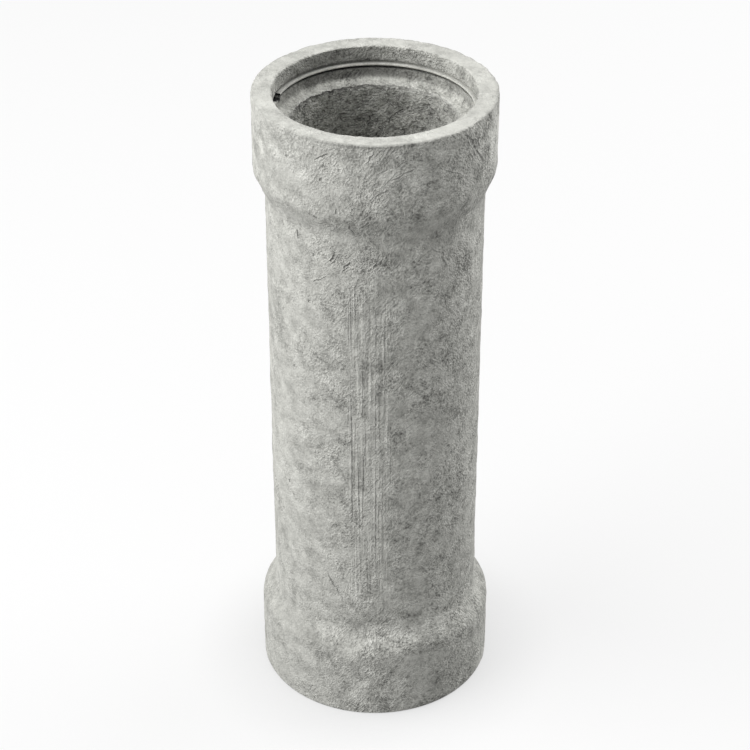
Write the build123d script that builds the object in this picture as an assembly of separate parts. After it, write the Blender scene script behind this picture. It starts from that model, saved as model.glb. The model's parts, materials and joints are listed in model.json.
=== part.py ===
from build123d import *
import os

# Concrete sewer pipe standing on its plain end, cast as one piece.
# The origin is the centre of the base, +Z runs up the pipe's axis to the socket's rim.
# All lengths are millimetres, and angles are degrees.

# Barrel
overall_length = 1222.0
bore_diameter = 300.0
barrel_wall = 44.0

# Socket at the top end, outside
socket_swell = 20.0  # how far the outside stands out from the barrel
socket_length = 139.0  # rim to the corner where the outside turns in
shoulder_length = 47.5  # that corner to the barrel
shoulder_crown_radius = 37.0
shoulder_root_radius = 60.0
rim_edge_radius = 3.0

# Socket at the top end, inside
socket_step = 28.0  # how far the mouth's wall stands back from the bore
seat_inset = 4.5  # how far the wall over the ledge stands in from the mouth's wall
socket_depth = 62.0  # rim to the ledge that the next pipe stops on
lip_radius = 3.0
ledge_root_radius = 12.0
ledge_edge_radius = 5.0

# Joint bead, a rib round the socket's wall, between a shallow relief and a deep slot
bead_above_ledge = 27.7  # ledge to the middle of the bead
bead_height = 3.6
bead_rise = 5.6  # how far the nose stands out of the mouth's wall
bead_nose_share = 0.40  # nose radius over the bead's height
relief_height = 4.5
relief_depth = 4.0
slot_height = 5.0
slot_depth = 6.0

# Pocket that breaks the bead at one place
pocket_width = 32.5
pocket_depth = 3.0
pocket_angle = 168.5  # about +Z, from +X

# Collar at the base
collar_swell = 26.5  # how far the collar stands out from the barrel
collar_length = 143.5  # base to the corner where the collar turns in
collar_shoulder_length = 35.5  # that corner to the barrel
collar_crown_radius = 34.0
collar_root_radius = 46.0
base_edge_radius = 4.0

# Radii and levels that follow from these sizes
bore_radius = bore_diameter / 2
barrel_radius = bore_radius + barrel_wall
socket_radius = barrel_radius + socket_swell
collar_radius = barrel_radius + collar_swell
mouth_radius = bore_radius + socket_step
seat_radius = mouth_radius - seat_inset
nose_radius = mouth_radius - bead_rise

collar_corner = collar_length
barrel_bottom = collar_corner + collar_shoulder_length
socket_corner = overall_length - socket_length
barrel_top = socket_corner - shoulder_length
ledge_level = overall_length - socket_depth
bead_level = ledge_level + bead_above_ledge
bead_top = bead_level + bead_height / 2
bead_bottom = bead_level - bead_height / 2
relief_top = bead_top + relief_height
slot_bottom = bead_bottom - slot_height


def outer_corners():
    """Corners of the outside from the base to the rim, each with its rounding radius."""
    return [
        ((collar_radius, 0), base_edge_radius),
        ((collar_radius, collar_corner), collar_crown_radius),
        ((barrel_radius, barrel_bottom), collar_root_radius),
        ((barrel_radius, barrel_top), shoulder_root_radius),
        ((socket_radius, socket_corner), shoulder_crown_radius),
        ((socket_radius, overall_length), rim_edge_radius),
    ]


def bead_corners():
    """Corners of the relief, the bead and the slot, going down the socket's wall."""
    relief_radius = mouth_radius + relief_depth
    slot_radius = mouth_radius + slot_depth
    bead_nose_radius = bead_nose_share * bead_height
    return [
        ((mouth_radius, relief_top), 0),
        ((relief_radius, relief_top), 0),
        ((relief_radius, bead_top), 0),
        ((nose_radius, bead_top), bead_nose_radius),
        ((nose_radius, bead_bottom), bead_nose_radius),
        ((slot_radius, bead_bottom), 0),
        ((slot_radius, slot_bottom), 0),
        ((seat_radius, slot_bottom), 0),
    ]


def inner_corners():
    """Corners of the inside from the rim down to the base, each with its rounding radius."""
    return [
        ((mouth_radius, overall_length), lip_radius),
        *bead_corners(),
        ((seat_radius, ledge_level), ledge_root_radius),
        ((bore_radius, ledge_level), ledge_edge_radius),
        ((bore_radius, 0), base_edge_radius),
    ]


def turned_body():
    """The section's outline, as radius and height, turned once round the pipe's axis."""
    corners = outer_corners() + inner_corners()
    points = [point for point, radius in corners]
    radii = [radius for point, radius in corners]
    outline = FilletPolyline(*points, radius=radii, close=True)
    section = Plane.XZ * make_face(outline)
    return revolve(section, axis=Axis.Z)


def bead_pocket():
    """A block as high as the bead with its relief and slot, reaching back into the wall."""
    pocket_back = mouth_radius + pocket_depth
    pocket_length = pocket_back - bore_radius
    pocket_height = relief_top - slot_bottom
    middle = Vector(pocket_back - pocket_length / 2, 0, (relief_top + slot_bottom) / 2)
    return Rot(0, 0, pocket_angle) * Pos(middle) * Box(pocket_length, pocket_width, pocket_height)


pipe = turned_body() - bead_pocket()

os.makedirs("parts", exist_ok=True)
export_step(pipe, "parts/pipe.step")
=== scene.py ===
import bpy
import json
import math
import numpy as np
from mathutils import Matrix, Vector


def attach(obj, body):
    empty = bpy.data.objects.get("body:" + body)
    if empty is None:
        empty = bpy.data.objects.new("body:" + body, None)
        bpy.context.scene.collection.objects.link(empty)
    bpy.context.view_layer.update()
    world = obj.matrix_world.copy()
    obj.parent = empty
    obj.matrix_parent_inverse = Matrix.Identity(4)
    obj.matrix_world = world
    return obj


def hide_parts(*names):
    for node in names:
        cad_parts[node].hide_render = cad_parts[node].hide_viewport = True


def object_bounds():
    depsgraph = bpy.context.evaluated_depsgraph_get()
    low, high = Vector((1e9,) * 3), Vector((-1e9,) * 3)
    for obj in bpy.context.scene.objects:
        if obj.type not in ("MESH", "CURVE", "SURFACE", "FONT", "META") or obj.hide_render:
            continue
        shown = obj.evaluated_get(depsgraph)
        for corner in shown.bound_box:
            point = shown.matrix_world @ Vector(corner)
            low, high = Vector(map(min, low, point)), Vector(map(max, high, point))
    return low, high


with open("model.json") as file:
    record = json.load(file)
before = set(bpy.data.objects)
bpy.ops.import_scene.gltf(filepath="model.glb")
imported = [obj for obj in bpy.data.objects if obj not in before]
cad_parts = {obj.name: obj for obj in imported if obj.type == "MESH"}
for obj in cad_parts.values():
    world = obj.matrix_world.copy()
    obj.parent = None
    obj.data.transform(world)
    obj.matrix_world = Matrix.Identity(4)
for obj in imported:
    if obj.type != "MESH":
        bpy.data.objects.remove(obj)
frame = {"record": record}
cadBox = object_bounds()
mounts = {m["name"]: m for m in frame["record"]["mounts"]}
print("frame loaded, pipe is", round(cadBox[1].z, 3), "m tall")

# Pipe, metres and degrees. Angles run about +Z from +X, so the side towards the camera is at 270.
pipe = {
    "length": cadBox[1].z,
    "collarRadius": cadBox[1].x,
    "boreRadius": mounts["through_bore"]["dims"]["r_mm"] / 1000,
    "mouthRadius": mounts["socket_mouth"]["dims"]["r_mm"] / 1000,
    "barrelRadius": 0.194,
    "socketRadius": 0.214,
    "socketLength": 0.139,  # rim to the corner where the outside turns in
    "shoulderLength": 0.0475,
    "shoulderCrown": 0.037,
    "shoulderRoot": 0.060,
    "rimEdge": 0.003,
    "socketDepth": 0.062,  # rim to the ledge
    "seatInset": 0.0045,  # the wall over the ledge, in from the mouth's wall
    "lip": 0.003,
    "ledgeRoot": 0.012,
    "ledgeEdge": 0.005,
    "beadAboveLedge": 0.0277,
    "beadHeight": 0.0036,
    "beadRise": 0.0056,
    "beadNose": 0.00144,
    "reliefHeight": 0.0045,
    "reliefDepth": 0.004,
    "slotHeight": 0.005,
    "slotDepth": 0.006,
    "pocketAngle": 168.5,
    "pocketWidth": 0.0325,
    "pocketDepth": 0.003,
    "pocketEdge": 0.0005,  # width of the broken corner at the pocket's sides
    "pocketDark": 0.0002,  # the pocket is painted black as shade from its far side up to here, from its middle
    "pocketColumns": 6,  # columns on each side of where its black ends
    "collarLength": 0.1435,
    "collarShoulder": 0.0355,
    "collarCrown": 0.034,
    "collarRoot": 0.046,
    "baseEdge": 0.004,
    "coarseStep": 0.0054,  # arc between columns on the plain sides
    "fineStep": 0.0017,  # arc between columns in the scraped bands
    "fineFade": (1.0, 1.5),  # shares of a band's half width over which the step goes back to coarse
    "turnSamples": 20000,  # places round the turn from which the columns are picked
    # spacing of the rows on each side of the section, and the side's roughness
    "sides": {
        "base": (0.012, 0), "collar": (0.0070, 1.0), "collarShoulder": (0.0065, 1.0), "barrel": (0.0072, 1.0),
        "shoulder": (0.0065, 1.0), "socket": (0.0065, 1.0), "rimSide": (0.0042, 0.9), "rim": (0.0040, 0.5),
        "mouth": (0.0042, 1.2), "seat": (0.0035, 0.7), "ledge": (0.0025, 0.8), "upperBore": (0.0062, 2.4),
        "middleBore": (0.013, 2.4), "lowerBore": (0.030, 2.0), "baseInside": (0.004, 0),
    },
    "rimSide": 0.045,  # height of the band under the rim
    "upperBore": 0.19,  # the ledge to where the bore's rows get wider
    "middleBore": 0.45,  # the ledge to where they get wider again
    "roofStep": 0.0014,  # spacing of the rows on the relief's roof, the bead's top and the slot's faces
    "beadStep": 0.0018,
    "slotStep": 0.0036,
    "sharpAngle": 50,  # an edge with more of a turn than this stays sharp
}

# Marks on the cast skin, degrees and metres
marks = {
    # scraped bands: middle angle, half width, lowest and highest point, strength
    "scrapes": [(266.5, 12.5, 0.215, 0.985, 1.0), (80, 10, 0.30, 0.90, 0.8)],
    # crumpled patches: angle, height, half width in degrees, half height, strength
    "crumples": [(265, 0.995, 17, 0.030, 1.0), (317, 0.955, 13, 0.050, 1.0), (140, 0.94, 16, 0.05, 0.8),
                 (35, 0.25, 18, 0.04, 0.7), (190, 0.62, 9, 0.07, 0.5)],
    # spalled edge: angle, height, half width in degrees, half height, depth
    "spalls": [(329, 1.206, 9, 0.022, 0.0013), (341, 1.176, 5, 0.022, 0.0009),
               (112, 1.209, 8, 0.016, 0.0012)],
    # lighter and darker patches, of tone and of painted light and shade: angle, height, half width in
    # degrees, half height, tone
    "patches": [(218, 1.172, 7, 0.012, 0.6), (206, 1.160, 4, 0.022, 0.5), (235, 1.150, 4, 0.010, 0.5),
                (317, 1.157, 6, 0.010, 0.6), (286, 1.147, 6, 0.010, 0.4), (304, 0.967, 5, 0.010, 0.6),
                (326, 0.940, 5, 0.022, -0.7), (297, 1.143, 4, 0.008, -0.6), (100, 1.14, 9, 0.014, 0.6),
                (52, 0.58, 8, 0.030, -0.5), (133, 0.72, 7, 0.022, 0.5), (170, 0.33, 9, 0.025, -0.5),
                (212, 0.156, 44, 0.036, -0.32), (318, 0.075, 32, 0.090, -0.20), (312, 0.42, 20, 0.140, -0.18),
                (348, 1.150, 13, 0.055, 1.25), (340, 1.190, 9, 0.030, 0.6), (268, 1.155, 22, 0.055, 0.36),
                (272, 0.186, 14, 0.024, 0.45), (312, 1.030, 14, 0.030, -0.28), (232, 1.040, 34, 0.018, 0.28),
                (298, 0.147, 16, 0.016, -0.72), (304, 0.181, 12, 0.011, 0.45), (268, 0.040, 10, 0.035, 0.25),
                (291, 0.212, 8, 0.010, -0.5), (240, 0.146, 14, 0.026, -0.35), (255, 0.268, 9, 0.030, 0.35),
                (271, 0.277, 7, 0.014, -0.4), (272, 0.070, 14, 0.022, 0.4), (306, 0.045, 12, 0.030, -0.35)],
    # pits: angle, height, radius
    "pits": [(298.2, 0.903, 0.0034), (310.1, 0.807, 0.0034), (304.7, 0.812, 0.0026), (215.5, 0.476, 0.0034),
             (222.0, 0.742, 0.0028), (236.5, 0.988, 0.0032), (215.0, 0.966, 0.0032), (254.6, 1.173, 0.0026),
             (245.0, 1.150, 0.0026), (251.7, 1.150, 0.0026), (214.0, 0.847, 0.0032), (234.4, 0.892, 0.0030),
             (303.7, 0.952, 0.0032), (226.6, 1.173, 0.0032), (268.4, 1.088, 0.0028), (61.0, 0.66, 0.0038),
             (127.0, 0.38, 0.0034), (24.0, 0.87, 0.0032), (158.0, 0.81, 0.0034)],
    "pitDepth": 1.7,  # millimetres
    # creases: angle and height of both ends, half width, depth in millimetres, or less than 0 for a ridge
    "creases": [
        (242, 1.184, 249, 1.200, 0.0018, 1.4), (265.5, 1.190, 269.5, 1.213, 0.0018, -1.4),
        (279, 1.180, 285, 1.192, 0.0016, 1.4), (271, 1.168, 276, 1.178, 0.0016, 1.2),
        (277.5, 1.158, 288.5, 1.174, 0.0017, 1.8), (277, 1.152, 282, 1.162, 0.0016, -1.2),
        (270.5, 1.128, 276.5, 1.141, 0.0020, 1.2), (300, 1.151, 309.5, 1.132, 0.0017, -1.4),
        (300, 1.169, 312.5, 1.142, 0.0020, -1.2), (313, 1.220, 329.5, 1.138, 0.0024, 2.2),
        (316, 1.201, 329, 1.189, 0.0019, -1.6), (323.7, 1.193, 324, 1.176, 0.0018, 1.6),
        (214.5, 1.027, 216, 1.018, 0.0022, 1.4), (226.5, 1.026, 228, 1.009, 0.0026, 2.2),
        (240.5, 1.075, 242.5, 1.073, 0.0020, 1.8), (247, 0.983, 250, 0.998, 0.0021, 2.2),
        (254, 0.976, 258, 0.987, 0.0021, 2.2), (253.5, 0.968, 258.5, 0.984, 0.0017, 1.6),
        (236, 0.935, 244.5, 0.955, 0.0018, -1.5), (214.5, 0.909, 217.5, 0.897, 0.0022, -1.4),
        (257.5, 1.071, 260.5, 1.044, 0.0018, 1.6), (252.7, 1.100, 253.1, 1.091, 0.0018, 1.8),
        (264, 1.065, 267.5, 1.079, 0.0017, 1.4), (269.5, 0.980, 274.5, 0.996, 0.0021, 2.0),
        (279.5, 0.977, 283.5, 0.991, 0.0018, -1.4), (301.5, 1.038, 303.5, 1.021, 0.0022, 2.0),
        (299.5, 1.001, 305.5, 0.991, 0.0018, 1.6), (305.5, 0.991, 309, 0.957, 0.0023, 2.2),
        (311, 0.985, 313.5, 0.987, 0.0020, 1.8), (307, 0.907, 310.5, 0.867, 0.0017, 1.4),
        (243, 0.309, 253, 0.245, 0.0016, 1.4), (306.5, 0.240, 310, 0.233, 0.0026, 2.4),
        (95, 1.150, 103, 1.166, 0.0017, 1.6), (60, 0.955, 66, 0.972, 0.0018, 1.8),
        (148, 0.520, 150, 0.500, 0.0022, 1.8),
        # long lines of the scraped band
        (258, 0.439, 258, 0.611, 0.0013, 0.8), (259.5, 0.871, 259.5, 0.945, 0.0014, -0.7),
        (265, 0.742, 265, 0.815, 0.0014, -0.8), (264.5, 0.536, 264.5, 0.646, 0.0014, -0.8),
        (270, 0.815, 270, 0.901, 0.0014, -1.0), (270, 0.581, 270, 0.784, 0.0013, -0.8),
        (270.5, 0.342, 270.5, 0.525, 0.0016, 0.9), (266, 0.278, 266, 0.412, 0.0013, 0.8),
        (273.5, 0.435, 273.5, 0.569, 0.0014, -0.8), (273.5, 0.731, 273.5, 0.778, 0.0014, -0.7),
        (277.5, 0.824, 277.5, 0.900, 0.0014, -0.8), (278.5, 0.513, 278.5, 0.666, 0.0012, 0.7),
        (279, 0.426, 279, 0.472, 0.0012, 0.6), (256.5, 0.822, 256.5, 0.914, 0.0012, 0.7),
        (256, 0.653, 256, 0.696, 0.0013, 0.7), (79, 0.42, 79, 0.66, 0.0014, -0.8),
        (84, 0.55, 84, 0.80, 0.0014, 0.8),
    ],
    "creaseFade": (0.005, 0.009),  # distances from a crease over which its field ends
    "creaseRoom": 0.020,  # distance over which a crease keeps others out of its layer
    "scrapeEnds": 0.08,  # height over which a scraped band starts and ends
    # shares of its half size between which a mark fades out
    "scrapeFade": (0.7, 1.0),
    "crumpleFade": (0.5, 1.1),
    "patchFade": (0.4, 1.2),
}


def plainRun(start, end, spacing):
    # evenly spaced points from start up to, but not with, end
    count = max(1, math.ceil(np.linalg.norm(end - start) / spacing))
    return start + (end - start) * np.linspace(0, 1, count, endpoint=False)[:, None]


def roundedPath(corners):
    # A path through the corners (radius, height, rounding, spacing, roughness). Each corner is cut back by
    # rounding / tan(half its inner angle) along both sides, and an arc of that rounding joins the two cuts.
    # Spacing and roughness belong to the side that leads up to the corner and to its arc.
    place = np.array([c[:2] for c in corners])
    runs, rough = [], []
    leave = place[0]
    for i in range(1, len(corners)):
        rounding, spacing, amount = corners[i][2:]
        if rounding == 0:
            run = plainRun(leave, place[i], spacing)
            leave = place[i]
        else:
            back = (place[i - 1] - place[i]) / np.linalg.norm(place[i - 1] - place[i])
            ahead = (place[i + 1] - place[i]) / np.linalg.norm(place[i + 1] - place[i])
            half = math.acos(back @ ahead) / 2
            cut = rounding / math.tan(half)
            middle = place[i] + (back + ahead) / np.linalg.norm(back + ahead) * rounding / math.sin(half)
            first = place[i] + back * cut - middle
            turn = math.atan2(*np.flip(place[i] + ahead * cut - middle)) - math.atan2(*np.flip(first))
            turn = (turn + math.pi) % (2 * math.pi) - math.pi
            steps = max(4, math.ceil(abs(turn) * rounding / spacing))
            swing = math.atan2(*np.flip(first)) + turn * np.linspace(0, 1, steps, endpoint=False)
            arc = middle + rounding * np.stack([np.cos(swing), np.sin(swing)], 1)
            run = np.concatenate([plainRun(leave, place[i] + back * cut, spacing), arc])
            leave = place[i] + ahead * cut
        runs.append(run)
        rough.append(np.full(len(run), amount))
    return np.concatenate(runs), np.concatenate(rough)


def beadRows(p):
    # The socket wall's relief, bead and slot as one line of points, and the same number of points round the
    # pocket that breaks them, where a flat land takes the bead's place.
    ledge = p["length"] - p["socketDepth"]
    beadTop = ledge + p["beadAboveLedge"] + p["beadHeight"] / 2
    beadBottom = beadTop - p["beadHeight"]
    reliefTop = beadTop + p["reliefHeight"]
    slotBottom = beadBottom - p["slotHeight"]
    mouth = p["mouthRadius"]
    nose, seat = mouth - p["beadRise"], mouth - p["seatInset"]
    reliefBack, slotBack = mouth + p["reliefDepth"], mouth + p["slotDepth"]
    pocketBack = mouth + p["pocketDepth"]
    tuck = p["reliefHeight"] / 5  # how far a row stands off the corners of the relief and the slot
    quarter = np.linspace(0, math.pi / 2, 4)
    out, down = p["beadNose"] * (1 - np.sin(quarter)), p["beadNose"] * (1 - np.cos(quarter))
    over = np.stack([nose + out, beadTop - down], 1)
    under = np.stack([nose + out[::-1], beadBottom + down[::-1]], 1)
    roof = plainRun(np.array([mouth, reliefTop]), np.array([reliefBack, reliefTop]), p["roofStep"])
    floor = plainRun(np.array([slotBack, slotBottom]), np.array([seat, slotBottom]), p["slotStep"])
    top = plainRun(np.array([reliefBack, beadTop]), over[0], p["beadStep"])
    bottom = np.flip(plainRun(np.array([slotBack, beadBottom]), under[-1], p["slotStep"]), 0)
    bead = np.concatenate([top, over, under, bottom])
    corner = np.array([[reliefBack, reliefTop], [reliefBack, reliefTop - tuck]])
    heel = np.array([[slotBack, slotBottom + tuck]])
    plain = np.concatenate([roof, corner, bead, heel, floor])
    level = np.linspace(beadTop, beadBottom, len(bead) - 2)
    land = np.stack([np.full(len(level), pocketBack), level], 1)
    broken = np.concatenate([roof, corner, bead[:1], land, bead[-1:], heel, floor])
    onBead = np.concatenate([np.zeros(len(roof) + 2), np.ones(len(bead)), np.zeros(1 + len(floor))])
    return plain, broken, onBead


def pipeRows(p):
    # The closed section of the pipe as rows (radius, height), from the base's inner edge out, up the outside,
    # over the rim and down the inside, with the rows inside the pocket and each row's roughness.
    top, ledge = p["length"], p["length"] - p["socketDepth"]
    bead, broken, onBead = beadRows(p)
    seat = p["mouthRadius"] - p["seatInset"]
    collarTop = p["collarLength"] + p["collarShoulder"]
    socketBottom = top - p["socketLength"]
    side = p["sides"]
    outside, outsideRough = roundedPath([
        (p["boreRadius"] + p["baseEdge"], 0, 0, 0, 0),
        (p["collarRadius"], 0, p["baseEdge"], *side["base"]),
        (p["collarRadius"], p["collarLength"], p["collarCrown"], *side["collar"]),
        (p["barrelRadius"], collarTop, p["collarRoot"], *side["collarShoulder"]),
        (p["barrelRadius"], socketBottom - p["shoulderLength"], p["shoulderRoot"], *side["barrel"]),
        (p["socketRadius"], socketBottom, p["shoulderCrown"], *side["shoulder"]),
        (p["socketRadius"], top - p["rimSide"], 0, *side["socket"]),
        (p["socketRadius"], top, p["rimEdge"], *side["rimSide"]),
        (p["mouthRadius"], top, p["lip"], *side["rim"]),
        (bead[0][0], bead[0][1], 0, *side["mouth"]),
    ])
    inside, insideRough = roundedPath([
        (seat, bead[-1][1], 0, 0, 0),
        (seat, ledge, p["ledgeRoot"], *side["seat"]),
        (p["boreRadius"], ledge, p["ledgeEdge"], *side["ledge"]),
        (p["boreRadius"], ledge - p["upperBore"], 0, *side["upperBore"]),
        (p["boreRadius"], ledge - p["middleBore"], 0, *side["middleBore"]),
        (p["boreRadius"], 0, p["baseEdge"], *side["lowerBore"]),
        (p["boreRadius"] + p["baseEdge"], 0, 0, *side["baseInside"]),
    ])
    rows = np.concatenate([outside, bead, inside])
    rough = np.concatenate([outsideRough, np.zeros(len(bead)), insideRough])
    beadSpan = slice(len(outside), len(outside) + len(bead))
    inPocket = rows.copy()
    inPocket[beadSpan] = broken
    polish = np.zeros(len(rows))
    polish[beadSpan] = onBead
    return rows, inPocket, rough, polish, beadSpan


def ripple(points, shortest, longest, count, seed):
    # a sum of plane waves of random direction, phase and wavelength between the two lengths, of unit spread
    draw = np.random.default_rng(seed)
    direction = draw.normal(size=(count, 3))
    direction /= np.linalg.norm(direction, axis=1)[:, None]
    wavelength = np.exp(draw.uniform(math.log(shortest), math.log(longest), count))
    phase = draw.uniform(0, 2 * math.pi, count)
    total = np.zeros(points.shape[:-1])
    for d, w, f in zip(direction, wavelength, phase):
        total += np.cos(points @ (d * 2 * math.pi / w) + f)
    return total * math.sqrt(2 / count)


def smooth(value, low, high):
    # 0 under low, 1 over high, and the cubic 3t^2 - 2t^3 between
    t = np.clip((value - low) / (high - low), 0, 1)
    return t * t * (3 - 2 * t)


def degreesOff(angle, middle):
    # how far each angle (radians) lies from the middle (degrees), the short way round, in degrees
    return np.abs((np.degrees(angle) - middle + 180) % 360 - 180)


# Cast skin, metres: how far it swells, and how far its edges and marks go in. Waves are their shortest and
# longest length, their count and their seed.
castSkin = {
    # amount and waves of the swells, the lumps and the finest unevenness
    "swells": [(0.00022, 0.06, 0.16, 40, 11), (0.00026, 0.024, 0.050, 60, 12),
               (0.00015, 0.012, 0.020, 80, 13)],
    "boreChip": 0.0026,
    "rimChip": 0.0010,
    "lipChip": 0.0004,
    "chipReach": 0.006,
    "chipSpread": 0.6,  # share of the waves in a chipped edge, over its level
    "boreLevel": 0.35,
    "boreWaves": (0.012, 0.060, 50, 14),
    "rimLevel": 0.25,
    "rimWaves": (0.008, 0.040, 60, 15),
    "scrape": 0.00022,
    "scrapeWaves": (0.0045, 0.016, 70, 16),
    "scrapeLong": 0.04,  # share of the height in the grooves' waves, so that they run long upright
    "scrapeSink": 0.4,  # how deep a scraped band lies, as a share of its grooves
    "crumple": 0.00035,
    "crumpleWaves": (0.012, 0.028, 60, 17),
    "spallRagged": 0.25,
    "spallWaves": (0.010, 0.030, 40, 18),
    "spallSlope": 0.35,  # share of a spall over which it gets to its depth
}


def edgeWeight(rows, corner, reach):
    # a bell of the distance from a corner of the section, one at the corner
    away = np.linalg.norm(rows - np.array(corner), axis=1)
    return np.exp(-(away / reach) ** 2)[:, None]


def awayFrom(angle, height, middle, level, half, tall):
    # distance from a mark's middle, as a share of its half width in degrees and its half height
    return np.hypot(degreesOff(angle, middle) / half, (height - level) / tall)


def markFields(angle, height, outer, m):
    # The share of each mark at each point: scraped bands and patches fade out towards their half size, and a
    # spall's field is 1 at its middle, 0 at its edge and less outside.
    scrape, crumple, toneAndLightPatches = (np.zeros(height.shape) for mark in range(3))
    for middle, half, low, high, strength in m["scrapes"]:
        across = 1 - smooth(degreesOff(angle, middle) / half, *m["scrapeFade"])
        starts = smooth(height, low, low + m["scrapeEnds"])
        ends = smooth(height, high - m["scrapeEnds"], high)
        scrape = np.maximum(scrape, strength * across * starts * (1 - ends))
    for *place, strength in m["crumples"]:
        share = 1 - smooth(awayFrom(angle, height, *place), *m["crumpleFade"])
        crumple = np.maximum(crumple, strength * share)
    # patches of the concrete's own tone and of painted light and shade
    for *place, tone in m["patches"]:
        toneAndLightPatches += tone * (1 - smooth(awayFrom(angle, height, *place), *m["patchFade"]))
    spall, spallDepth = np.full(height.shape, -1.0), np.zeros(height.shape)
    for *place, depth in m["spalls"]:
        field = 1 - awayFrom(angle, height, *place)
        spallDepth = np.where(field > spall, depth, spallDepth)
        spall = np.maximum(spall, field)
    return scrape * outer, crumple * outer, np.where(outer > 0, spall, -1.0), toneAndLightPatches * outer, spallDepth


def onSkin(angle, height, rows):
    # the point of the plain outside at this angle (degrees) and height
    outside = rows[:np.argmax(rows[:, 1]) + 1]
    radius = np.interp(height, outside[:, 1], outside[:, 0])
    around = math.radians(angle)
    return np.array([radius * math.cos(around), radius * math.sin(around), height])


def creaseLayers(points, rows, m):
    # Layers of three values at each point: its distance across a crease over the half width, its distance
    # along it from the middle over the half length, and the crease's depth where the point is near. Both
    # distances are linear, so they hold between the grid's points. A crease goes into the first layer with no
    # other close by.
    layers = []
    pits = [(angle, height - r, angle, height + r, r, m["pitDepth"]) for angle, height, r in m["pits"]]
    for angle, height, endAngle, endHeight, half, depth in m["creases"] + pits:
        start, end = onSkin(angle, height, rows), onSkin(endAngle, endHeight, rows)
        middle, reach = (start + end) / 2, np.linalg.norm(end - start) / 2
        ahead = (end - start) / (2 * reach)
        sideways = np.cross(middle * (1, 1, 0), ahead)
        sideways /= np.linalg.norm(sideways)
        along, across = (points - middle) @ ahead, (points - middle) @ sideways
        away = np.linalg.norm(points - middle - np.clip(along, -reach, reach)[..., None] * ahead, axis=-1)
        near = away < m["creaseRoom"]
        fields = next((layer for layer in layers if not layer[near].any()), None)
        if fields is None:
            fields = np.zeros(points.shape)
            layers.append(fields)
        strength = depth * (1 - smooth(away, *m["creaseFade"]))
        fields[near] = np.stack([across / half, along / reach, strength], -1)[near]
    return layers


def chipped(points, level, spread, waves):
    # how broken an edge is: its level plus the waves' share, and never less than 0
    return np.maximum(0, level + spread * ripple(points, *waves))


def skinDepth(points, rows, rough, fields, p, s):
    # how far each point stands out along its normal: swells and lumps by the row's roughness, less the
    # broken edges, the scraped grooves and the spalls
    scrape, crumple, spall, toneAndLightPatches, spallDepth = fields
    depth = np.zeros(points.shape[:-1])
    for amount, *waves in s["swells"]:
        depth += amount * ripple(points, *waves)
    depth *= rough[:, None]
    ledge = p["length"] - p["socketDepth"]
    ragged = chipped(points, s["boreLevel"], s["chipSpread"], s["boreWaves"])
    depth -= s["boreChip"] * ragged * edgeWeight(rows, (p["boreRadius"], ledge), s["chipReach"])
    worn = chipped(points, s["rimLevel"], s["chipSpread"], s["rimWaves"])
    depth -= s["rimChip"] * worn * edgeWeight(rows, (p["socketRadius"], p["length"]), s["chipReach"])
    depth -= s["lipChip"] * worn * edgeWeight(rows, (p["mouthRadius"], p["length"]), s["chipReach"])
    grooves = ripple(points * np.array([1, 1, s["scrapeLong"]]), *s["scrapeWaves"])
    depth += s["scrape"] * scrape * (grooves - s["scrapeSink"])
    depth += s["crumple"] * crumple * ripple(points, *s["crumpleWaves"])
    broken = spall + s["spallRagged"] * ripple(points, *s["spallWaves"])
    return depth - spallDepth * smooth(broken, 0.0, s["spallSlope"])


def columnAngles(p, m):
    # Angles of the columns: those across the pocket, close together where its black ends, then the rest of
    # the turn, with the arc between two columns going from the coarse step down to the fine one in the
    # scraped bands. The last column stands right beside the pocket's far side.
    side = math.asin(p["pocketWidth"] / 2 / p["mouthRadius"])
    edge = p["pocketEdge"] / p["mouthRadius"]
    middle = math.radians(p["pocketAngle"])
    dark = p["pocketDark"] / p["mouthRadius"]
    black = np.linspace(-side, dark - edge, p["pocketColumns"])
    across = np.concatenate([black, np.linspace(dark + edge, side, p["pocketColumns"])])
    sweep = np.linspace(side + edge, 2 * math.pi - side - 3 * edge, p["turnSamples"])
    step = np.full(sweep.shape, p["coarseStep"])
    for band, half, low, high, strength in m["scrapes"]:
        near = 1 - smooth(degreesOff(middle + sweep, band) / half, *p["fineFade"])
        step += strength * (p["fineStep"] - p["coarseStep"]) * near
    count = np.concatenate([[0], np.cumsum(p["barrelRadius"] * np.diff(sweep) / step[1:])])
    plain = np.interp(np.linspace(0, count[-1], round(count[-1]) + 1), count, sweep)
    plain = np.append(plain, 2 * math.pi - side - edge)
    isPocket = np.arange(len(across) + len(plain)) < len(across)
    return middle + np.concatenate([across, plain]), isPocket


def rowNormals(rows):
    # the section's outward normal at each row, from the two neighbouring rows
    along = np.roll(rows, -1, 0) - np.roll(rows, 1, 0)
    along /= np.linalg.norm(along, axis=1)[:, None]
    return np.stack([along[:, 1], -along[:, 0]], 1)


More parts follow.
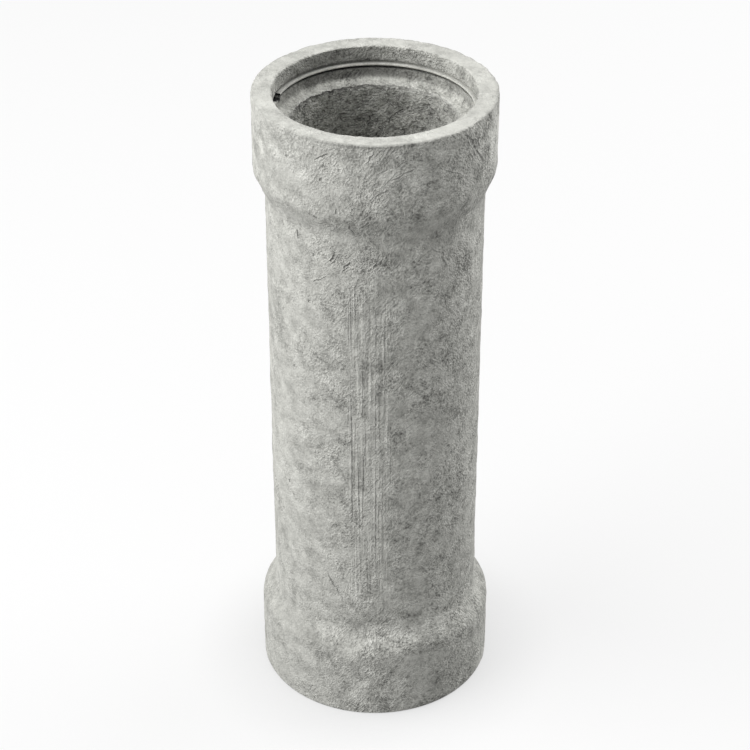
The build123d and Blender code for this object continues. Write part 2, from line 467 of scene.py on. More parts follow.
def pipeGrid(p, m, s):
    # point(row, column) = (r cos a, r sin a, z), with the row's own r and z, or the pocket's in its columns,
    # moved out along the section's normal by skinDepth. The pocket's sides are parallel: there sin a is
    # worked out from the column's place across the pocket over the radius.
    rows, inPocket, rough, polish, beadSpan = pipeRows(p)
    angle, isPocket = columnAngles(p, m)
    radius = np.where(isPocket, inPocket[:, :1], rows[:, :1])
    height = np.where(isPocket, inPocket[:, 1:], rows[:, 1:])
    spread = np.broadcast_to(angle, radius.shape).copy()
    middle = math.radians(p["pocketAngle"])
    offset = np.sin(angle[isPocket] - middle) * p["mouthRadius"]
    spread[beadSpan, isPocket] = middle + np.arcsin(offset / radius[beadSpan, isPocket])
    points = np.stack([radius * np.cos(spread), radius * np.sin(spread), height], -1)
    outer = (np.arange(len(rows)) < np.argmax(rows[:, 1])).astype(float)[:, None]
    fields = markFields(spread, height, outer, m)
    depth = skinDepth(points, rows, rough, fields, p, s)
    normal = rowNormals(rows)
    radius = radius + depth * normal[:, :1]
    height = np.maximum(0, height + depth * normal[:, 1:])
    points = np.stack([radius * np.cos(spread), radius * np.sin(spread), height], -1)
    return points, rows, angle, isPocket, polish, beadSpan, fields


def gridMesh(name, points):
    # a mesh of four-sided faces over a grid that closes on itself both ways
    rowCount, columnCount = points.shape[:2]
    at = np.arange(rowCount * columnCount).reshape(rowCount, columnCount)
    up = np.roll(at, -1, 0)
    faces = np.stack([at, np.roll(at, -1, 1), np.roll(up, -1, 1), up], -1).reshape(-1, 4)
    mesh = bpy.data.meshes.new(name)
    mesh.vertices.add(points.size // 3)
    mesh.vertices.foreach_set("co", points.astype(np.float32).ravel())
    mesh.loops.add(faces.size)
    mesh.loops.foreach_set("vertex_index", faces.astype(np.int32).ravel())
    mesh.polygons.add(len(faces))
    mesh.polygons.foreach_set("loop_start", np.arange(0, faces.size, 4, dtype=np.int32))
    mesh.update(calc_edges=True)
    mesh.validate()
    return mesh


def putAttribute(mesh, name, values, kind="FLOAT", field="value"):
    # a field with one value, or one vector, at each point of the mesh
    layer = mesh.attributes.new(name, kind, "POINT")
    layer.data.foreach_set(field, np.asarray(values, np.float32).ravel())


def putBakeMap(mesh, points):
    # a map over the whole grid: columns run 0 to 1 along u, and rows along v by the section's length
    rowCount, columnCount = points.shape[:2]
    ring = np.concatenate([points[:, 0], points[:1, 0]])
    along = np.concatenate([[0], np.cumsum(np.linalg.norm(np.diff(ring, axis=0), axis=1))])
    belt = np.concatenate([points[0], points[0, :1]])
    across = np.concatenate([[0], np.cumsum(np.linalg.norm(np.diff(belt, axis=0), axis=1))])
    u, v = across / across[-1], along / along[-1]
    corner = np.empty((rowCount, columnCount, 4, 2), np.float32)
    corner[..., 0, 0] = corner[..., 3, 0] = u[:-1]
    corner[..., 1, 0] = corner[..., 2, 0] = u[1:]
    corner[..., 0, 1] = corner[..., 1, 1] = v[:-1, None]
    corner[..., 2, 1] = corner[..., 3, 1] = v[1:, None]
    mesh.uv_layers.new(name="OFBake").uv.foreach_set("vector", corner.ravel())


def node(tree, kind, links=None, **values):
    # one node, with its inputs linked by name or number and its settings and inputs set
    made = tree.nodes.new(kind)
    for key, value in values.items():
        if hasattr(made, key):
            setattr(made, key, value)
        else:
            made.inputs[key.replace("_", " ")].default_value = value
    for key, source in (links or {}).items():
        tree.links.new(source, made.inputs[key])
    return made


def maths(tree, operation, *terms):
    # one step of arithmetic on its terms, each of them a socket or a number
    made = node(tree, "ShaderNodeMath", operation=operation)
    for i, term in enumerate(terms):
        if isinstance(term, (int, float)):
            made.inputs[i].default_value = term
        else:
            tree.links.new(term, made.inputs[i])
    return made.outputs[0]


def weighted(tree, layer, weights, total=0.0):
    # total plus the sum of weight times (layer less its rest level), for weights given as layer, rest level
    # and weight
    for name, rest, weight in weights:
        value = maths(tree, "SUBTRACT", layer[name], rest) if rest else layer[name]
        total = maths(tree, "MULTIPLY_ADD", value, weight, total)
    return total


def onePlus(tree, value, amount):
    # one plus the amount times the value
    return maths(tree, "MULTIPLY_ADD", value, amount, 1.0)


def fromMiddle(tree, noise):
    # how far a noise lies over or under its middle level
    return maths(tree, "SUBTRACT", noise, 0.5)


def between(tree, value, low, high):
    # 0 at low, 1 at high, eased between, also with low over high
    made = node(tree, "ShaderNodeMapRange", {"Value": value}, interpolation_type="SMOOTHSTEP")
    made.inputs["From Min"].default_value = low
    made.inputs["From Max"].default_value = high
    return made.outputs["Result"]


def grain(tree, coords, scale, detail, roughness=0.5, warp=0.0):
    # a noise of this many cells to the metre, with finer noise on it by its detail, and bent by the warp
    made = node(tree, "ShaderNodeTexNoise", {"Vector": coords}, Scale=scale, Detail=detail)
    made.inputs["Roughness"].default_value = roughness
    made.inputs["Distortion"].default_value = warp
    return made.outputs[0]


def stretched(tree, coords, turn, scale):
    # coordinates turned by the angles in degrees, then scaled, so that a pattern on them runs long one way
    made = node(tree, "ShaderNodeMapping", {"Vector": coords}, vector_type="TEXTURE")
    made.inputs["Rotation"].default_value = [math.radians(t) for t in turn]
    made.inputs["Scale"].default_value = scale
    return made.outputs[0]


def attribute(tree, name, output="Fac"):
    # a field of the mesh
    return node(tree, "ShaderNodeAttribute", attribute_name=name).outputs[output]


# Concrete: noise scales are per metre, tones are shares of the ramp, and relief is in millimetres
concrete = {
    "ramp": [(0.0, (0.17, 0.17, 0.156)), (0.5, (0.55, 0.55, 0.512)), (1.0, (0.86, 0.86, 0.805))],
    "roughness": 0.92,
    "relief": 0.001,  # metres for a relief of one
    # noises: scale, detail, and where they aren't plain, roughness and distortion
    "noises": {
        "cloud": (6, 3), "blotch": (38, 2, 0.5, 0.2), "mottle": (105, 1, 0.5, 0.1), "speck": (215, 0.5),
        "grit": (370, 0.5), "fold": (75, 1, 0.5, 0.3), "patchy": (16, 2), "sideways": (90, 1),
        "lump": (46, 2, 0.55, 0.6), "crackLine": (34, 2, 0.55, 0.5), "crackPlace": (20, 1),
    },
    # noises that run long one way: turn in degrees, how many times longer, scale, detail
    "streaks": {
        "smear": ((0, 35, 132), 4, 60, 2), "streak": ((0, 0, 0), 24, 240, 0.5),
        "slowStreak": ((0, 0, 0), 40, 85, 0), "sway": ((0, 0, 0), 6, 40, 0),
    },
    # fine strokes: turn and seed of each direction, how many times longer than wide, scale, detail
    "strokes": [((0, 38, 0), 21), ((0, -52, 0), 22), ((40, 0, 0), 23), ((-50, 0, 0), 24)],
    "strokeLong": 7.0,
    "strokeGrain": (300, 0.5),
    "strokeScale": 22,  # scale of the slow noise that says where strokes are
    "strokeLevels": (0.46, 0.60),
    "strokesInBore": -0.75,  # change of the strokes in the bore
    # levels of a noise between which something starts, and for a share, its factor and what is added to it
    "patchyLevels": (0.38, 0.62),
    "patchyShare": (0.5, 0.75),
    "faintLevels": (0.36, 0.52),
    "faintShare": (0.6, 0.4),
    "crackLevels": (0.48, 0.60),
    "crackWidth": 0.03,
    "ridgeWidth": 0.075,  # of the scraped bands' sharp lines
    "ridges": 2.0,  # their weight beside the fine streaks
    "spallGrain": 0.9,
    "spallLevels": (0.42, 0.52),
    # creases, in half widths: how far they wander for the noise's whole range, the groove and its lips
    "wander": 4.0,
    "groove": 1.3,
    "lipRise": (1.1, 1.8),
    "lipFall": (2.6, 1.8),
    "lipFrom": 1.1,  # depth from which a crease has lips
    "lipHeight": -0.9,  # less than 0, because it is taken off a depth
    "creaseEnd": (1.1, 0.7),  # shares of the half length over which a crease ends
    # weights: layer, rest level, weight
    "fineTone": [("blotch", 0.5, 0.28), ("mottle", 0.5, 0.40), ("speck", 0.5, 0.37), ("grit", 0.5, 0.38),
                 ("strokes", 0, 0.33)],
    "slowTone": [("cloud", 0.5, 0.40), ("blotch", 0.5, 0.50), ("smear", 0.5, 0.30)],
    "markTone": [("drag", 0, 0.45), ("scrape", 0, 0.075), ("crag", 0, 0.5), ("crack", 0, -0.18),
                 ("blotchyToneAndLight", 0, 0.8)],
    # painted shade in the grooves and pits of the creases, and painted light on the ridges
    "creaseTone": -0.12,
    "middleTone": 0.5,  # where the ramp stands with no grain or marks
    # changes of a strength where a field is one
    "soilScraped": -0.35,
    "tonePolished": -0.6,
    "plainRelief": [("blotch", 0.5, 2.2), ("mottle", 0.5, 1.8), ("speck", 0.5, 2.1), ("grit", 0.5, 2.0),
                    ("folds", 0.1, 1.2), ("strokes", 0, 1.9)],
    "markRelief": [("drag", 0, 1.9), ("spallEdge", 0, -1.5), ("creases", 0, -1.5), ("crag", 0, 7.0),
                   ("crack", 0, -2.4)],
    # changes of the relief where a field is one
    "reliefCrumpled": 0.8,
    "reliefPolished": -0.85,
    # the bore's upper edge, metres: how ragged it is, where the painted shade starts, and where that painted
    # shadow under the edge is darkest
    "brinkRagged": [("mottle", 0.5, 0.010), ("blotch", 0.5, 0.012)],
    "brinkStart": (-0.0005, 0.0006),
    "brinkDark": (0.009, 0.001),
    "brinkDarker": 1.3,
}


def strokeLayers(tree, coords, c):
    # fine strokes in four directions, each where its own slow noise is high
    total = 0.0
    for turn, seed in c["strokes"]:
        lines = grain(tree, stretched(tree, coords, turn, (1, 1, c["strokeLong"])), *c["strokeGrain"])
        slow = node(tree, "ShaderNodeTexNoise", {"Vector": coords}, noise_dimensions="4D", W=seed)
        slow.inputs["Scale"].default_value = c["strokeScale"]
        where = between(tree, slow.outputs[0], *c["strokeLevels"])
        total = maths(tree, "MULTIPLY_ADD", fromMiddle(tree, lines), where, total)
    return total


def creaseDepth(tree, wander, layerCount, c):
    # depth of the creases in millimetres: a groove, a raised lip on both sides of it by how much deeper it is
    # than a shallow line, and both eased to nothing past the ends
    total = 0.0
    for i in range(layerCount):
        place = node(tree, "ShaderNodeSeparateXYZ", {0: attribute(tree, f"crease{i}", "Vector")})
        across = maths(tree, "ABSOLUTE", maths(tree, "ADD", place.outputs[0], wander))
        along = maths(tree, "ABSOLUTE", place.outputs[1])
        rise, fall = between(tree, across, *c["lipRise"]), between(tree, across, *c["lipFall"])
        lip = maths(tree, "MULTIPLY", rise, fall)
        raised = maths(tree, "MAXIMUM", maths(tree, "SUBTRACT", place.outputs[2], c["lipFrom"]), 0.0)
        profile = maths(tree, "MULTIPLY", between(tree, across, c["groove"], 0.0), place.outputs[2])
        profile = maths(tree, "MULTIPLY_ADD", maths(tree, "MULTIPLY", lip, raised), c["lipHeight"], profile)
        total = maths(tree, "MULTIPLY_ADD", profile, between(tree, along, *c["creaseEnd"]), total)
    return total


def concreteTone(tree, layer, c):
    # place along the ramp: fine grain by the soil's strength, slow clouds, scraped streaks, patches of tone
    # and of painted light and shade, creases
    soil = maths(tree, "MULTIPLY", layer["soil"], onePlus(tree, layer["scrape"], c["soilScraped"]))
    soil = maths(tree, "MULTIPLY", soil, layer["uneven"])
    tone = maths(tree, "MULTIPLY", weighted(tree, layer, c["fineTone"]), soil)
    tone = maths(tree, "ADD", tone, weighted(tree, layer, c["slowTone"]))
    tone = weighted(tree, layer, c["markTone"], tone)
    tone = maths(tree, "MULTIPLY", tone, onePlus(tree, layer["polish"], c["tonePolished"]))
    # painted shade in the creases' grooves and pits, painted light on their ridges
    tone = maths(tree, "MULTIPLY_ADD", layer["creases"], c["creaseTone"], tone)
    return maths(tree, "ADD", tone, c["middleTone"])


def concreteRelief(tree, layer, c):
    # height in millimetres: the layers by the row's ruggedness, then the marks, all less on a smooth face
    strength = maths(tree, "MULTIPLY_ADD", layer["crumple"], c["reliefCrumpled"], layer["rugged"])
    strength = maths(tree, "MULTIPLY", strength, layer["uneven"])
    relief = maths(tree, "MULTIPLY", weighted(tree, layer, c["plainRelief"]), strength)
    relief = weighted(tree, layer, c["markRelief"], relief)
    return maths(tree, "MULTIPLY", relief, onePlus(tree, layer["polish"], c["reliefPolished"]))


def dragLines(tree, layer, c):
    # Upright lines of the scraped bands: fine streaks, and sharp ridges and grooves where a slower streak
    # noise crosses its middle, high or low by a third one.
    crossing = maths(tree, "ABSOLUTE", fromMiddle(tree, layer["slowStreak"]))
    sharp = between(tree, crossing, c["ridgeWidth"], 0.0)
    ridges = maths(tree, "MULTIPLY", sharp, fromMiddle(tree, layer["sway"]))
    return maths(tree, "MULTIPLY_ADD", ridges, c["ridges"], fromMiddle(tree, layer["streak"]))


def boreCrags(tree, layer, craggy, c):
    # lumps of the bore's wall, about its middle level, and cracks where a warped noise crosses its middle
    line = maths(tree, "ABSOLUTE", fromMiddle(tree, layer["crackLine"]))
    where = between(tree, layer["crackPlace"], *c["crackLevels"])
    crack = maths(tree, "MULTIPLY", between(tree, line, c["crackWidth"], 0.0), where)
    lumps = fromMiddle(tree, layer["lump"])
    return maths(tree, "MULTIPLY", lumps, craggy), maths(tree, "MULTIPLY", crack, craggy)


def boreShade(tree, layer, brink, boreShadeLevel, c):
    # the bore's painted shade, from a ragged line along the ledge's edge down, and darkest right under that
    # line, as a painted shadow of the edge
    ragged = weighted(tree, layer, c["brinkRagged"], brink)
    near = onePlus(tree, between(tree, ragged, *c["brinkDark"]), c["brinkDarker"])
    share = maths(tree, "MULTIPLY", between(tree, ragged, *c["brinkStart"]), near)
    return maths(tree, "MULTIPLY", boreShadeLevel, share)


def concreteLayers(tree, coords, layerCount, c):
    # each layer's value: the fields on the mesh, the noises, and what is worked out from them
    fields = ("scrape", "crumple", "toneAndLightPatches", "paintedShade", "rugged", "soil", "polish")
    layer = {name: attribute(tree, name) for name in fields}
    for name, noise in c["noises"].items():
        layer[name] = grain(tree, coords, *noise)
    for name, (turn, long, *noise) in c["streaks"].items():
        layer[name] = grain(tree, stretched(tree, coords, turn, (1, 1, long)), *noise)
    patchy = between(tree, layer["patchy"], *c["patchyLevels"])
    layer["uneven"] = maths(tree, "MULTIPLY_ADD", patchy, *c["patchyShare"])
    layer["folds"] = maths(tree, "ABSOLUTE", fromMiddle(tree, layer["fold"]))
    # the patches' tone and painted light and shade, broken up by the blotches
    layer["blotchyToneAndLight"] = maths(tree, "MULTIPLY", layer["toneAndLightPatches"], layer["blotch"])
    place = node(tree, "ShaderNodeSeparateXYZ", {0: attribute(tree, "bore", "Vector")})
    craggy, brink, boreShadeLevel = place.outputs
    calm = onePlus(tree, maths(tree, "MINIMUM", craggy, 1.0), c["strokesInBore"])
    layer["strokes"] = maths(tree, "MULTIPLY", strokeLayers(tree, coords, c), calm)
    layer["crag"], layer["crack"] = boreCrags(tree, layer, craggy, c)
    layer["drag"] = maths(tree, "MULTIPLY", dragLines(tree, layer, c), layer["scrape"])
    spall = maths(tree, "MULTIPLY_ADD", layer["blotch"], c["spallGrain"], attribute(tree, "spall"))
    layer["spallEdge"] = between(tree, spall, *c["spallLevels"])
    # all the painted shade of the inside and of the bore, taken off the colour
    layer["shade"] = maths(tree, "ADD", layer["paintedShade"], boreShade(tree, layer, brink, boreShadeLevel, c))

    # creases wander to both sides by a share of their half width, and fade here and there along their length
    wander = maths(tree, "MULTIPLY", fromMiddle(tree, layer["sideways"]), c["wander"])
    faint = maths(tree, "MULTIPLY_ADD", between(tree, layer["mottle"], *c["faintLevels"]), *c["faintShare"])
    layer["creases"] = maths(tree, "MULTIPLY", creaseDepth(tree, wander, layerCount, c), faint)
    return layer


def castConcrete(c, layerCount):
    # matt concrete: the ramp's colour at the tone, darker by the painted shade, over the bumps of the relief
    material = bpy.data.materials.new("castConcrete")
    material.use_nodes = True
    tree = material.node_tree
    tree.nodes.clear()
    coords = node(tree, "ShaderNodeTexCoord").outputs["Object"]
    layer = concreteLayers(tree, coords, layerCount, c)
    ramp = node(tree, "ShaderNodeValToRGB", {"Fac": concreteTone(tree, layer, c)})
    stops = ramp.color_ramp.elements
    while len(stops) < len(c["ramp"]):
        stops.new(0.5)
    for stop, (place, colour) in zip(stops, c["ramp"]):
        stop.position = place
        stop.color = (*colour, 1)
    dark = node(tree, "ShaderNodeVectorMath", {0: ramp.outputs["Color"]}, operation="SCALE")
    tree.links.new(maths(tree, "SUBTRACT", 1.0, layer["shade"]), dark.inputs["Scale"])
    bump = node(tree, "ShaderNodeBump", {"Height": concreteRelief(tree, layer, c)}, Distance=c["relief"])
    bump.inputs["Strength"].default_value = 1.0
    links = {"Base Color": dark.outputs[0], "Normal": bump.outputs[0]}
    shader = node(tree, "ShaderNodeBsdfPrincipled", links)
    shader.inputs["Roughness"].default_value = c["roughness"]
    node(tree, "ShaderNodeOutputMaterial", {"Surface": shader.outputs[0]})
    return material


# Painted shade, roughness and strength of the grain inside, on the rim and, by angle, outside. The painted
# shade darkens the inside where shade falls; less than 0 it is painted light, lighter than the plain
# concrete.
surfaceLook = {
    # painted shade of each part of the inside: the mouth's wall, the seat under the bead, the ledge, the
    # bore, the bead's top, the slot and the relief
    "mouthShade": 0.48,
    "seatShade": 0.70,
    "ledgeShade": 0.01,
    "boreShadeLevel": 0.32,
    "beadShade": 0.50,  # painted shadow at the back of the bead's upper face
    "slotShade": 0.90,
    "reliefShade": 0.80,
    "pocketShade": 1.0,
    # share of the painted shade by angle, degrees about +Z from +X, highest on the far left, which faces away
    # from the key lamp, and the same for the bore and for the seat
    "shadeTurn": [(0, 0.25), (40, 0.30), (75, 0.70), (100, 1.05), (125, 1.05), (148, 0.95), (162, 0.54),
                  (178, 0.40), (270, 0.45), (360, 0.25)],
    "boreTurn": [(0, 0.20), (40, 0.24), (75, 0.64), (100, 1.05), (116, 1.0), (134, 0.26), (150, 0.25),
                 (178, 0.30), (270, 0.45), (360, 0.20)],
    "seatTurn": [(0, 0.25), (60, 0.55), (80, 0.95), (100, 0.95), (118, 0.88), (140, 0.78), (165, 0.55),
                 (270, 0.45), (360, 0.25)],
    # how craggy the bore is by angle
    "cragTurn": [(0, 0.75), (60, 0.75), (90, 1.0), (118, 1.1), (130, 1.7), (160, 1.7), (185, 1.0),
                 (360, 0.75)],
    # outside, relief and grain by angle, and how much rougher the socket is
    "ruggedTurn": [(0, 0.85), (150, 0.48), (222, 0.44), (240, 0.51), (268, 0.80), (360, 0.85)],
    "soilTurn": [(0, 1.10), (150, 0.75), (222, 0.75), (244, 1.00), (268, 1.45), (335, 1.40), (360, 1.10)],
    "socketTurn": [(0, 0.4), (150, 0.0), (222, 0.0), (244, 0.2), (268, 0.4), (360, 0.4)],
    "socketStart": (1.05, 1.10),  # heights between which the socket's roughness starts
    "collarRugged": 0.25,  # how much rougher the collar is
    "collarEnd": (0.18, 0.24),  # heights between which that ends
    # painted light and shade of the rim's top by angle, lighter at the front, and painted shade on its
    # rounded outer edge, darkest at the front
    "rimTurn": [(0, 0.0), (90, 0.0), (150, 0.04), (185, 0.06), (215, 0.03), (245, -0.04), (270, -0.05),
                (300, -0.03), (330, 0.0), (360, 0.0)],
    "edgeTurn": [(0, 0.10), (180, 0.10), (225, 0.05), (236, 0.15), (246, 0.30), (292, 0.30), (303, 0.15),
                 (318, 0.05), (335, 0.10), (360, 0.10)],
    "rimStart": 0.001,  # depth under the rim at which the mouth's painted shade starts
    "rimFade": 0.004,  # depth at which it is full
    "sideFade": 0.014,  # how much deeper that is where the painted shade's share is 0
    "seatFade": (0.001, 0.008),  # heights over the ledge between which the seat's painted shade starts
    "noseClear": 0.002,  # how far behind the bead's nose its painted shadow starts
    "spillDepth": 0.003,  # how far the pocket's painted black shade reaches down on the seat
    "spillEdge": 0.005,  # how far short of the pocket's middle it stops there
    "rimRugged": 0.55,
    "rimSoil": 0.45,
    "mouthRugged": 1.1,
    "boreRugged": 1.6,
    "mouthCrags": 0.4,
    "brinkReach": 0.03,  # distance from the ledge's edge at which its field ends
    "brinkFade": (0.003, 0.014),  # distances over which the bore's own share by angle takes over
    "innerSoil": 1.6,
    "slack": 0.0002,  # how far a row may lie off a face that it belongs to
    "rimSlack": 0.0005,  # the same for the rim
}


def byAngle(angle, steps):
    # a value in straight runs between the steps, each of them an angle in degrees and its value
    return np.interp(np.degrees(angle) % 360, *np.array(steps).T)


def sectionParts(rows, beadSpan, p, k):
    # which rows belong to the inside, the mouth's wall, the seat with its ledge, the bore, the rim and the
    # rim's outer edge
    radius, height = rows[:, 0], rows[:, 1]
    slack, rimStart = k["slack"], p["length"] - p["rimEdge"]
    boreTop = p["length"] - p["socketDepth"] - p["ledgeEdge"] / 2
    inner = np.arange(len(rows)) > np.argmax(height)
    wall = inner & (radius < p["mouthRadius"] + slack)
    return {
        "inner": inner,
        "mouth": wall & (height > height[beadSpan].max() - slack),
        "seat": wall & (height < height[beadSpan].min() + slack) & (height > boreTop),
        "bore": wall & (height < boreTop),
        "rim": (height > p["length"] - k["rimSlack"]) & (radius > p["mouthRadius"]),
        "edge": (radius > p["socketRadius"] - p["rimEdge"] - slack) & (height > rimStart - slack),
    }


def paintedShadeField(rows, angle, isPocket, polish, beadSpan, part, p, k):
    # How dark the painted shade is: a row's own painted shade times its share at the column's angle, nearly
    # black in the slot and the pocket, where shade falls, lightest on the ledge, and the rim's own painted
    # light and shade by angle.
    radius, height = rows[:, 0], rows[:, 1]
    ledge = p["length"] - p["socketDepth"]
    nose, slotBack = p["mouthRadius"] - p["beadRise"], p["mouthRadius"] + p["slotDepth"]
    onBead = np.zeros(len(rows), bool)
    onBead[beadSpan] = True
    over = onBead & (height > ledge + p["beadAboveLedge"])
    under = onBead & (height < ledge + p["beadAboveLedge"])
    seatShare = smooth(height, *(ledge + np.array(k["seatFade"])))
    beadShade = k["beadShade"] * smooth(radius, nose + k["noseClear"], slotBack)
    overShade = np.where(polish > 0, beadShade, k["reliefShade"])
    underShade = np.where((polish > 0) & (radius < p["mouthRadius"]), 0, k["slotShade"])
    paintedShade = np.select([over, under, part["seat"], part["mouth"]],
                      [overShade, underShade, k["seatShade"] * seatShare, k["mouthShade"]], 0.0)
    turn = byAngle(angle, k["shadeTurn"])
    fade = smooth((p["length"] - height)[:, None], k["rimStart"], k["rimFade"] + k["sideFade"] * (1 - turn))
    share = np.where(part["seat"][:, None], byAngle(angle, k["seatTurn"]), turn)
    paintedShade = paintedShade[:, None] * share * np.where(part["mouth"][:, None], fade, 1)
    paintedShade += np.where(part["seat"], k["ledgeShade"] * (1 - seatShare), 0)[:, None]
    across = np.sin(angle - math.radians(p["pocketAngle"])) * p["mouthRadius"]
    # the pocket's shallow land is painted black, as the shade of a deep hole
    paintedShade[beadSpan, isPocket] = np.where(across[isPocket] < p["pocketDark"], k["pocketShade"], 0.0)
    paintedShade[beadSpan, -1] = k["pocketShade"]
    spill = part["seat"] & (height > height[beadSpan].min() - k["spillDepth"])
    paintedShade[np.ix_(spill, isPocket & (across < p["pocketDark"] - k["spillEdge"]))] = k["pocketShade"]
    # painted light and shade on the rim's top and painted shade on its outer edge
    paintedShade += np.where(part["rim"][:, None], byAngle(angle, k["rimTurn"]), 0)
    paintedShade += np.where(part["edge"][:, None], byAngle(angle, k["edgeTurn"]), 0)
    return paintedShade


def grainFields(rows, angle, part, k):
    # how rough the relief and how strong the grain is: by angle outside, rougher on the socket and the
    # collar, and each part's own on the rim and inside
    height = rows[:, 1:]
    rougher = 1 + byAngle(angle, k["socketTurn"]) * smooth(height, *k["socketStart"])
    rougher += k["collarRugged"] * (1 - smooth(height, *k["collarEnd"]))
    rugged = byAngle(angle, k["ruggedTurn"]) * rougher
    bore = k["boreRugged"] * byAngle(angle, k["cragTurn"])
    amounts = {"inner": 1.0, "rim": k["rimRugged"], "mouth": k["mouthRugged"], "bore": bore}
    for name, amount in amounts.items():
        rugged = np.where(part[name][:, None], amount, rugged)
    soil = np.where(part["inner"][:, None], k["innerSoil"], byAngle(angle, k["soilTurn"]))
    return rugged, np.where(part["rim"][:, None], k["rimSoil"], soil)


def boreFields(rows, angle, part, p, k):
    # Three values at each point: how craggy it is, its distance along the section from the ledge's edge, and
    # the bore's painted shade, with the mouth's share by angle at that edge and the bore's own share below
    # it.
    along = np.concatenate([[0], np.cumsum(np.linalg.norm(np.diff(rows, axis=0), axis=1))])
    corner = np.argmin(np.linalg.norm(rows - (p["boreRadius"], p["length"] - p["socketDepth"]), axis=1))
    brink = np.clip(along - along[corner], -k["brinkReach"], k["brinkReach"])[:, None]
    bore, wall = part["bore"][:, None], (part["mouth"] | part["seat"])[:, None]
    craggy = np.where(bore, byAngle(angle, k["cragTurn"]), np.where(wall, k["mouthCrags"], 0.0))
    below = smooth(brink, *k["brinkFade"])
    share = byAngle(angle, k["shadeTurn"]) * (1 - below) + byAngle(angle, k["boreTurn"]) * below
    paintedShade = np.where(bore | (np.abs(brink) < k["brinkReach"]), k["boreShadeLevel"], 0) * share
    return np.stack(np.broadcast_arrays(craggy, brink, paintedShade), -1)


def makePipe(p, m, s, c, k):
    # the skin with its map, fields and material, in place of the CAD solid
    points, rows, angle, isPocket, polish, beadSpan, fields = pipeGrid(p, m, s)
    mesh = gridMesh("concretePipe", points)
    putBakeMap(mesh, points)
    for name, values in zip(("scrape", "crumple", "spall", "toneAndLightPatches"), fields):
        putAttribute(mesh, name, np.broadcast_to(values, points.shape[:2]))
    part = sectionParts(rows, beadSpan, p, k)
    rugged, soil = grainFields(rows, angle, part, k)
    putAttribute(mesh, "bore", boreFields(rows, angle, part, p, k), "FLOAT_VECTOR", "vector")
    putAttribute(mesh, "paintedShade", paintedShadeField(rows, angle, isPocket, polish, beadSpan, part, p, k))
    putAttribute(mesh, "rugged", rugged)
    putAttribute(mesh, "soil", soil)
    putAttribute(mesh, "polish", np.broadcast_to(polish[:, None], points.shape[:2]))
    creases = creaseLayers(points, rows, m)
    for i, values in enumerate(creases):
        putAttribute(mesh, f"crease{i}", values, "FLOAT_VECTOR", "vector")
    mesh.shade_smooth()
    mesh.set_sharp_from_angle(angle=math.radians(p["sharpAngle"]))
    piece = bpy.data.objects.new("concretePipe", mesh)
    bpy.context.scene.collection.objects.link(piece)
    mesh.materials.append(castConcrete(c, len(creases)))
    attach(piece, "root")
    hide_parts("pipe")
    rowCount, columnCount = points.shape[:2]
    print("pipe skin:", rowCount, "rows by", columnCount, "columns,", len(mesh.polygons) * 2, "triangles,",
          len(creases), "layers of creases")
    return piece


makePipe(pipe, marks, castSkin, concrete, surfaceLook)

# Studio, metres, watts and degrees
studio = {
    "floorHalf": 14.0,
    "floorColour": 0.80,  # as the camera sees it
    "floorBounce": 0.28,  # as the light bounces off it
    "floorShade": 0.28,  # how much of the floor's own shading the camera sees
    "contactShade": 0.30,  # painted contact shadow: how much darker the floor is right beside the pipe
    "contactReach": 0.16,
    "contactSamples": 4,
    "skyStrength": 0.37,
    "lamps": {
        "keyLeft": {"azimuth": -75, "elevation": 35, "distance": 7.0, "size": 7.0, "watts": 520},
        "edgeRight": {"azimuth": 120, "elevation": 28, "distance": 7.0, "size": 6.0, "watts": 280},
        "overhead": {"azimuth": 0, "elevation": 86, "distance": 7.0, "size": 6.0, "watts": 100},
    },
    "aim": (0.0, 0.0, 0.65),
}


def cameraShare(tree):
    # 1 for rays from the camera, from mirrors and through glass
    path = node(tree, "ShaderNodeLightPath")
    either = maths(tree, "MAXIMUM", path.outputs["Is Camera Ray"], path.outputs["Is Glossy Ray"])
    return maths(tree, "MAXIMUM", either, path.outputs["Is Transmission Ray"])


def makeFloor(s):
    # a level floor of white paper, which the camera sees lighter than the pipe does, with a painted contact
    # shadow round the pipe
    half = s["floorHalf"]
    mesh = bpy.data.meshes.new("studioFloor")
    corners = [(-half, -half, 0), (half, -half, 0), (half, half, 0), (-half, half, 0)]
    mesh.from_pydata(corners, [], [(0, 1, 2, 3)])
    floor = bpy.data.objects.new("studioFloor", mesh)
    bpy.context.scene.collection.objects.link(floor)
    paper = bpy.data.materials.new("studioPaper")
    paper.use_nodes = True
    tree = paper.node_tree
    tree.nodes.clear()
    seen = cameraShare(tree)
    grey = maths(tree, "MULTIPLY_ADD", seen, s["floorColour"] - s["floorBounce"], s["floorBounce"])
    matte = node(tree, "ShaderNodeBsdfDiffuse", {"Color": grey})
    # painted contact shadow: the floor's white is darker where the pipe is close
    close = node(tree, "ShaderNodeAmbientOcclusion", Distance=s["contactReach"])
    close.samples = s["contactSamples"]
    glow = maths(tree, "MULTIPLY_ADD", close.outputs["AO"], s["contactShade"], 1 - s["contactShade"])
    white = node(tree, "ShaderNodeEmission", {"Strength": glow})
    share = maths(tree, "MULTIPLY", seen, 1 - s["floorShade"])
    mix = node(tree, "ShaderNodeMixShader", {0: share, 1: matte.outputs[0], 2: white.outputs[0]})
    node(tree, "ShaderNodeOutputMaterial", {"Surface": mix.outputs[0]})
    mesh.materials.append(paper)


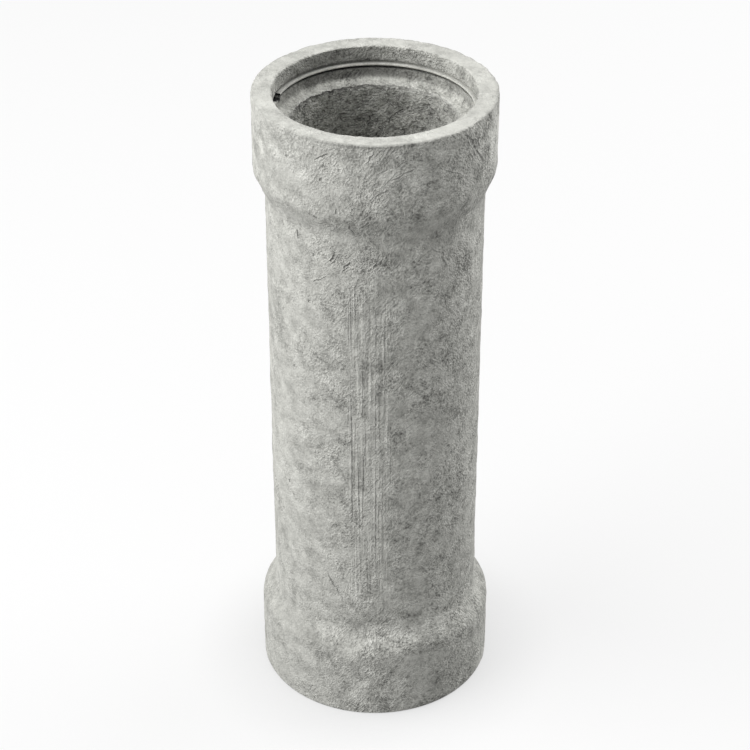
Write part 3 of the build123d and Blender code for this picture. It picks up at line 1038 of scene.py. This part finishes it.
def makeSky(s):
    # soft light from all sides, which the camera sees as plain white
    world = bpy.data.worlds.new("studioSky")
    bpy.context.scene.world = world
    world.use_nodes = True
    tree = world.node_tree
    tree.nodes.clear()
    soft = node(tree, "ShaderNodeBackground", Strength=s["skyStrength"])
    white = node(tree, "ShaderNodeBackground", Strength=1.0)
    soft.inputs["Color"].default_value = (1, 1, 1, 1)
    white.inputs["Color"].default_value = (1, 1, 1, 1)
    mix = node(tree, "ShaderNodeMixShader", {0: cameraShare(tree), 1: soft.outputs[0], 2: white.outputs[0]})
    node(tree, "ShaderNodeOutputWorld", {"Surface": mix.outputs[0]})


def makeLamps(s):
    # a lamp stands at its azimuth, counted from the camera's side towards the right, and its elevation
    aim = Vector(s["aim"])
    for name, lamp in s["lamps"].items():
        around, up = math.radians(lamp["azimuth"]), math.radians(lamp["elevation"])
        away = Vector((math.sin(around) * math.cos(up), -math.cos(around) * math.cos(up), math.sin(up)))
        data = bpy.data.lights.new(name, "AREA")
        data.size = lamp["size"]
        data.energy = lamp["watts"]
        holder = bpy.data.objects.new(name, data)
        holder.location = aim + away * lamp["distance"]
        holder.rotation_mode = "QUATERNION"
        holder.rotation_quaternion = away.to_track_quat("Z", "Y")
        bpy.context.scene.collection.objects.link(holder)


# Camera, from the photo's outline: pixels of a 750 wide frame, degrees, metres
view = {
    "frame": 750,
    "focalPixels": 2227.5,
    "pitch": 33.016,
    "back": 3.4727,
    "aboveRim": 1.6717,
    "sensor": 36.0,
}


def makeCamera(v, p):
    # lens = sensor times focal length over frame width, both in pixels, aimed down by the pitch
    data = bpy.data.cameras.new("photoCamera")
    data.sensor_width = v["sensor"]
    data.lens = v["sensor"] * v["focalPixels"] / v["frame"]
    camera = bpy.data.objects.new("photoCamera", data)
    camera.location = (0, -v["back"], p["length"] + v["aboveRim"])
    camera.rotation_euler = (math.radians(90 - v["pitch"]), 0, 0)
    bpy.context.scene.collection.objects.link(camera)
    bpy.context.scene.camera = camera


makeFloor(studio)
makeSky(studio)
makeLamps(studio)
makeCamera(view, pipe)
bpy.context.scene.view_settings.view_transform = "Standard"
print("studio, lamps and camera placed")
